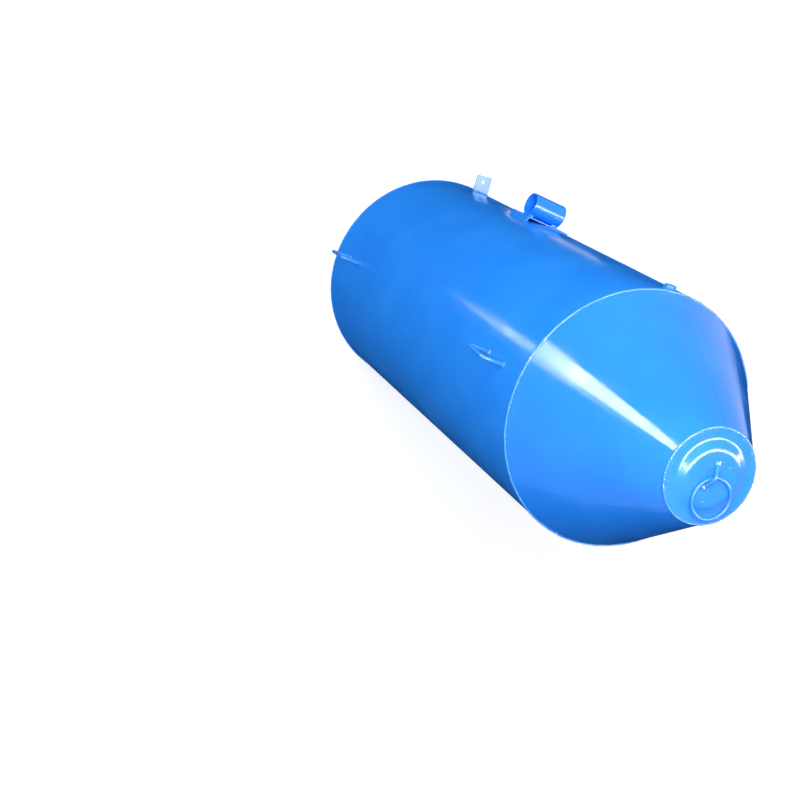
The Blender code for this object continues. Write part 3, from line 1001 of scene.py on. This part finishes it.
class FLOAT_OT_socket(bpy.types.Operator):
    """Fold the saddle and tack the pipe socket on it"""

    bl_idname = "float.socket"
    bl_label = "Socket and saddle"

    def execute(self, context):
        finished_copy("socket_saddle", "folded_saddle", 0.0007, "blue_enamel", "saddle")
        for side in ("left", "right"):
            hand_fillet("saddle_weld_" + side, 24)

        left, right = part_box("socket_tube")
        select_none()
        bpy.ops.mesh.primitive_cylinder_add(
            vertices=96,
            radius=(right[2] - left[2]) / 2,
            depth=right[0] - left[0],
            end_fill_type="NOTHING",
            location=middle_of("socket_tube"),
            rotation=(0, pi / 2, 0),
        )
        tube = added("pipe_socket")
        modified(tube, "wall", "SOLIDIFY", thickness=SOCKET_WALL, offset=-1)
        softened(tube, 0.0007)
        smooth(tube, 35, flats=True)
        fitted(tube, "float", "blue_enamel", ENAMEL["tube"], "socket_tube")
        lump = (0.0190, 0.0115, 0.0115)
        for seed, end in enumerate(("front_left", "front_right", "rear_left", "rear_right"), 40):
            node = "tube_tack_" + end
            place = Matrix.Translation(middle_of(node))
            weld_lump(node, lump, seed, 0.0034, place, "bead", seated=False)
        return {"FINISHED"}


class FLOAT_OT_tab(bpy.types.Operator):
    """Finish the drilled tab and its fillets"""

    bl_idname = "float.tab"
    bl_label = "Tab"

    def execute(self, context):
        finished_copy("rear_tab", "drilled_tab", 0.0005, "blue_enamel", "tab")
        for node in ("tab_weld_front", "tab_weld_rear"):
            hand_fillet(node, 4)
        return {"FINISHED"}


class FLOAT_OT_plug(bpy.types.Operator):
    """Finish the air test plug, its boss and its weld"""

    bl_idname = "float.plug"
    bl_label = "Plug"

    def execute(self, context):
        finished_copy("plug_boss", "threaded_boss", 0.0004, "blue_enamel", "saddle")
        finished_copy("air_plug", "hexagon_plug", 0.0005, "light_blue_enamel", "cap")

        select_none()
        bpy.ops.mesh.primitive_torus_add(
            major_radius=0.0142, minor_radius=0.0016, major_segments=96, minor_segments=12
        )
        bead = added("plug_weld_bead")
        edit(bead)
        bpy.ops.transform.resize(value=(1, 1, 0.7), center_override=(0, 0, 0))
        done(bead)
        rippled(bead, 0.004, 0.0010)
        smooth(bead, 70)
        placed(bead, boss_place(lift=0.0001))
        fitted(bead, "float", "light_blue_enamel", ENAMEL["bead"], "plug_weld")
        return {"FINISHED"}


class FLOAT_OT_welds(bpy.types.Operator):
    """Run the long welds: both rims, the cap's edge and the seams"""

    bl_idname = "float.welds"
    bl_label = "Long welds"

    def execute(self, context):
        size = sizes()
        sides = 3 * size.round_sides
        # The middle of each round bead lies a little inside the corner that it fills
        rim = size.drum_radius - 0.0002
        front = self.round_bead("rim_bead", (rim, size.rim), (0.0066, 0.0017), 15, sides)
        self.rough_skin(front, 0.0060, 0.0022)
        fitted(front, "float", "light_blue_enamel", ENAMEL["bead"], "front_rim_weld")

        level = size.drum_rear + 0.0004
        rear = self.round_bead("rear_rim_bead", (rim, level), (0.0056, 0.0020), 0, sides)
        self.rough_skin(rear, 0.004, 0.0010)
        fitted(rear, "float", "blue_enamel", ENAMEL["plate"], "rear_rim_weld")

        edge = (size.cap_radius + 0.0004, cap_face(size) - 0.0027)
        cap = self.round_bead("cap_bead", edge, (0.0052, 0.0022), 10, 480)
        self.rough_skin(cap, 0.0055, 0.0018)
        fitted(cap, "float", "light_blue_enamel", ENAMEL["bead"], "cap_weld")

        for node in ("drum_seam_weld_front", "drum_seam_weld_middle", "drum_seam_weld_rear"):
            run = self.seam_run(node, high(node)[2] - low(node)[2])
            out = size.drum_radius + 0.0002
            placed(run, on_drum(DRUM_SEAM_ANGLE, middle_of(node).z, out))
            fitted(run, "float", "light_blue_enamel", ENAMEL["bead"], node)
        self.cone_seam(size)
        return {"FINISHED"}

    def round_bead(self, name, place, section, tilt, sides):
        """A ring-shaped bead: a flattened circle spun round the float's axis."""
        middle = (place[0], 0, place[1])
        width, height = section
        select_none()
        bpy.ops.mesh.primitive_circle_add(
            vertices=10, radius=width / 2, location=middle, rotation=(pi / 2, 0, 0)
        )
        bead = added(name)
        edit(bead)
        bpy.ops.transform.resize(value=(height / width * 2, 1, 1), center_override=middle)
        bpy.ops.transform.rotate(
            value=radians(tilt), orient_axis="Y", orient_type="GLOBAL", center_override=middle
        )
        bpy.ops.mesh.spin(steps=sides, angle=2 * pi, center=(0, 0, 0), axis=(0, 0, 1))
        done(bead, tidy=True)
        return bead

    def rough_skin(self, bead, size, height):
        """Ripples that stand out a little more than they dip in."""
        rippled(bead, size, height, middle=0.45)
        smooth(bead, 70)

    def seam_run(self, node, length, width=0.008, height=0.0015, row=0.004):
        """A low bead along Y, cut into short rows that the ripples then lift."""
        select_none()
        bpy.ops.mesh.primitive_cylinder_add(
            vertices=12, radius=0.5, depth=length, rotation=(pi / 2, 0, 0)
        )
        run = added(node + "_run")
        edit(run)
        bpy.ops.transform.resize(value=(width, 1, 2 * height), center_override=(0, 0, 0))
        count = max(int(length / row), 2)
        cuts = [(0, length * (step / count - 0.5), 0) for step in range(1, count)]
        sliced(run, cuts, (0, 1, 0))
        rippled(run, 0.0032, 0.0011)
        smooth(run, 60)
        return run

    def cone_seam(self, size):
        """The same low bead, laid along the cone's slope."""
        node = "cone_seam_weld"
        slope = cone_slope(size)
        level = middle_of(node).z
        length = (high(node)[2] - low(node)[2]) * hypot(1, slope)
        run = self.seam_run(node, length, width=0.0046, height=0.0006)
        out = size.drum_radius - (level - low("nose_cone")[2]) * slope + 0.0002
        lean = Matrix.Rotation(-atan(slope), 4, "X")
        placed(run, on_drum(CONE_SEAM_ANGLE, level, out) @ lean)
        fitted(run, "float", "light_blue_enamel", ENAMEL["cone"], node)


class FLOAT_OT_spatter(bpy.types.Operator):
    """Scatter the drops of weld metal that lie beside the welds"""

    bl_idname = "float.spatter"
    bl_label = "Spatter"

    def execute(self, context):
        size = sizes()
        dice = random.Random(7)
        rim_drops, edge_drops, crown_drops = 150, 110, 64
        seats = []
        for _ in range(rim_drops):
            angle = dice.uniform(0, 360)
            off = abs(dice.gauss(0, 0.007)) + 0.0045
            if dice.random() < 0.5:
                place = on_drum(angle, size.rim - off, size.drum_radius)
            else:
                place = self.on_cone(size, angle, off)
            seats.append((place, dice.uniform(0.0012, 0.0030)))
        self.scatter("rim_spatter", seats, dice)

        crown = high("nose_cap")[2]
        face = cap_face(size)
        seats = []
        for _ in range(edge_drops):
            angle = dice.uniform(0, 2 * pi)
            out = size.cap_radius - 0.002 - abs(dice.gauss(0, 0.004))
            place = Matrix.Translation((out * cos(angle), out * sin(angle), face))
            seats.append((place, dice.uniform(0.0012, 0.0028)))
        for _ in range(crown_drops):
            out = size.crown_radius * 0.93 * sqrt(dice.random())
            angle = dice.uniform(0, 2 * pi)
            place = Matrix.Translation((out * cos(angle), out * sin(angle), crown))
            seats.append((place, dice.uniform(0.0010, 0.0024)))
        self.scatter("cap_spatter", seats, dice)
        return {"FINISHED"}

    def on_cone(self, size, angle, off):
        """A seat on the cone, off the rim by the given height."""
        slope = cone_slope(size)
        lean = Matrix.Rotation(-atan(slope), 4, "X")
        return on_drum(angle, low("nose_cone")[2] + off, size.drum_radius - off * slope) @ lean

    def scatter(self, name, seats, dice):
        """One low drop, copied to each seat at its own size, length and turn."""
        drop = blob("drop", (1, 1, 0.7), 1, segments=8, rings=5)
        drops = []
        for seat, across in seats:
            copy = new_object("drop copy", drop.data.copy())
            long = across * dice.uniform(0.9, 1.5)
            turn = Matrix.Rotation(dice.uniform(0, pi), 4, "Z")
            copy.data.transform(seat @ turn @ Matrix.Diagonal((across, long, across, 1)))
            drops.append(copy)
        bpy.data.objects.remove(drop)
        piece = joined(drops, name)
        smooth(piece, 80)
        fitted(piece, "float", "light_blue_enamel", ENAMEL["bead"])


WHITE = (1, 1, 1)
PINK = (1.0, 0.86, 0.94)
CONE_SIDE = (0.2, -0.08, 1.43)
NOSE = (0, 0, 1.6)

# Lamps that only the gloss shows: beside the cone, over the cap and, facing straight up, low beside
# the drum. Each has its place, its target, the direction and the length of its two sides, its share
# of the shine and its colour
GLOSS_LAMPS = (
    ("side lamp", (3.05, -0.97, 1.635), CONE_SIDE, (0, 0, 1), (0.70, 0.60), 1.15, WHITE),
    ("side glow", (3.19, -0.55, 1.42), CONE_SIDE, (0, 0, 1), (0.24, 0.30), 0.8, WHITE),
    ("left strip", (-2.05, -0.73, 3.375), NOSE, (1.31, 0.255, 1.61), (2.3, 0.5), 0.95, PINK),
    ("right strip", (-0.45, -0.12, 4.345), NOSE, (1.887, 1.122, 0.33), (2.6, 0.75), 0.95, PINK),
    ("low lamp", (0.95, -0.235, 0.01), None, (0.961, -0.276, 0), (0.20, 0.10), 1 / 5, WHITE),
    ("far low lamp", (0.79, -0.19, 0.01), None, (0.961, -0.276, 0), (0.14, 0.04), 1 / 9, WHITE),
    ("foot lamp", (-0.225, -0.535, 0.01), None, (-0.75, -0.66, 0), (0.36, 0.10), 1 / 50, WHITE),
)


class FLOAT_OT_stage(bpy.types.Operator):
    """Set out the floor, the lamps, the surroundings and the camera"""

    bl_idname = "float.stage"
    bl_label = "Stage"

    def execute(self, context):
        stage = context.scene.float_stage
        self.floor(stage)
        self.surroundings(stage)
        place, middle = (1.64, -1.02, 3.60), (0, 0, 0.9)
        self.lamp("key lamp", place, middle, (0, 0, 1), (2.4, 2.4), stage.key_power)
        for name, place, target, along, size, share, colour in GLOSS_LAMPS:
            self.highlight(name, place, target, along, size, share * stage.shine, colour)
        self.dark_card()
        self.camera()
        context.scene.view_settings.view_transform = "Standard"
        return {"FINISHED"}

    def seen(self, tree):
        """1 for rays from the camera and for reflections, so that both find the pale background."""
        path = tree.nodes.new("ShaderNodeLightPath").outputs
        either = maths(tree, "MAXIMUM", path["Is Camera Ray"], path["Is Glossy Ray"])
        return maths(tree, "MAXIMUM", either, path["Is Transmission Ray"])

    def floor(self, stage):
        select_none()
        bpy.ops.mesh.primitive_plane_add(size=24, location=(0, 0, -0.0006))
        floor = added("pale_floor")
        glow = 0.57
        values = {
            "Base Color": (*stage.floor_colour, 1),
            "Roughness": 0.9,
            "Specular IOR Level": 0.0,
            "Emission Color": (1, 1, 1, 1),
        }
        made, tree, shader = new_material("pale floor", values)
        strength = maths(tree, "MULTIPLY", self.seen(tree), glow)
        tree.links.new(strength, shader.inputs["Emission Strength"])
        floor.data.materials.append(made)

    def surroundings(self, stage):
        world = bpy.context.scene.world or bpy.data.worlds.new("surroundings")
        bpy.context.scene.world = world
        world.use_nodes = True
        tree = world.node_tree
        tree.nodes.clear()
        output = tree.nodes.new("ShaderNodeOutputWorld")
        backdrop = tree.nodes.new("ShaderNodeBackground")
        backdrop.inputs["Color"].default_value = (1, 1, 1, 1)
        sky = tree.nodes.new("ShaderNodeBackground")
        sky.inputs["Color"].default_value = (0.93, 0.96, 1.0, 1)
        sky.inputs["Strength"].default_value = stage.sky
        blend = tree.nodes.new("ShaderNodeMixShader")
        tree.links.new(self.seen(tree), blend.inputs["Fac"])
        tree.links.new(sky.outputs[0], blend.inputs[1])
        tree.links.new(backdrop.outputs[0], blend.inputs[2])
        tree.links.new(blend.outputs[0], output.inputs["Surface"])

    def lamp(self, name, place, target, along, size, power):
        """A flat lamp that faces its target or straight up, its first side along a direction."""
        lamp = bpy.data.lights.new(name, "AREA")
        lamp.shape = "RECTANGLE"
        lamp.size, lamp.size_y = size
        lamp.energy = power
        stand = new_object(name, lamp)
        back = (Vector(place) - Vector(target)).normalized() if target else Vector((0, 0, -1))
        across = back.cross(Vector(along)).normalized()
        turn = Matrix((across.cross(back), across, back)).transposed().to_4x4()
        stand.matrix_world = Matrix.Translation(place) @ turn
        stand.visible_camera = False
        return stand

    def highlight(self, name, place, target, along, size, brightness, colour):
        """A lamp of a given brightness, whatever its size, that lights nothing but the gloss."""
        stand = self.lamp(name, place, target, along, size, pi * size[0] * size[1] * brightness)
        stand.data.color = colour
        stand.visible_diffuse = False

    def dark_card(self):
        """A dark card round the float's foot, seen only by the gloss, which keeps the blue deep."""
        select_none()
        bpy.ops.mesh.primitive_circle_add(
            vertices=96, radius=3.6, fill_type="NGON", location=(0.3, 2.0, -0.0003)
        )
        card = added("dark_card")
        dark = {"Base Color": (0.010, 0.016, 0.030, 1), "Roughness": 1.0, "Specular IOR Level": 0.0}
        card.data.materials.append(new_material("dark card", dark)[0])
        card.visible_camera = False
        card.visible_diffuse = False
        card.visible_shadow = False
        card.visible_transmission = False

    def camera(self):
        camera = bpy.data.cameras.new("camera")
        camera.lens = 67.1
        camera.sensor_width = 36
        camera.clip_start = 0.01
        camera.clip_end = 60
        stand = new_object("camera", camera)
        right = (-0.84153, -0.42122, 0.33810)
        up = (0.32007, -0.89310, -0.31610)
        back = (0.43510, -0.15775, 0.88640)
        place = (1.87498, -0.34715, 3.98930)
        turn = Matrix((right, up, back)).transposed().to_4x4()
        stand.matrix_world = Matrix.Translation(place) @ turn
        bpy.context.scene.camera = stand


OPERATORS = (
    FLOAT_OT_enamel,
    FLOAT_OT_drum,
    FLOAT_OT_nose,
    FLOAT_OT_ring,
    FLOAT_OT_handles,
    FLOAT_OT_socket,
    FLOAT_OT_tab,
    FLOAT_OT_plug,
    FLOAT_OT_welds,
    FLOAT_OT_spatter,
    FLOAT_OT_stage,
)


class FLOAT_PT_panel(bpy.types.Panel):
    bl_label = "Dredge Float"
    bl_idname = "FLOAT_PT_panel"
    bl_space_type = "VIEW_3D"
    bl_region_type = "UI"
    bl_category = "Float"

    def draw(self, context):
        column = self.layout.column(align=True)
        for operator in OPERATORS:
            column.operator(operator.bl_idname)
        scene = context.scene
        for group in (scene.float_sizes, scene.float_paint, scene.float_stage):
            column.separator()
            for key in group.bl_rna.properties.keys():
                if key not in ("rna_type", "name"):
                    column.prop(group, key)


CLASSES = (FloatSizes, FloatPaint, FloatStage, *OPERATORS, FLOAT_PT_panel)


def register():
    for item in CLASSES:
        bpy.utils.register_class(item)
    bpy.types.Scene.float_sizes = PointerProperty(type=FloatSizes)
    bpy.types.Scene.float_paint = PointerProperty(type=FloatPaint)
    bpy.types.Scene.float_stage = PointerProperty(type=FloatStage)


def unregister():
    del bpy.types.Scene.float_stage
    del bpy.types.Scene.float_paint
    del bpy.types.Scene.float_sizes
    for item in reversed(CLASSES):
        bpy.utils.unregister_class(item)


def main():
    register()
    bpy.ops.float.enamel()
    bpy.ops.float.drum()
    bpy.ops.float.nose()
    bpy.ops.float.ring()
    bpy.ops.float.handles()
    bpy.ops.float.socket()
    bpy.ops.float.tab()
    bpy.ops.float.plug()
    bpy.ops.float.welds()
    bpy.ops.float.spatter()
    bpy.ops.float.stage()


if __name__ == "__main__":
    main()
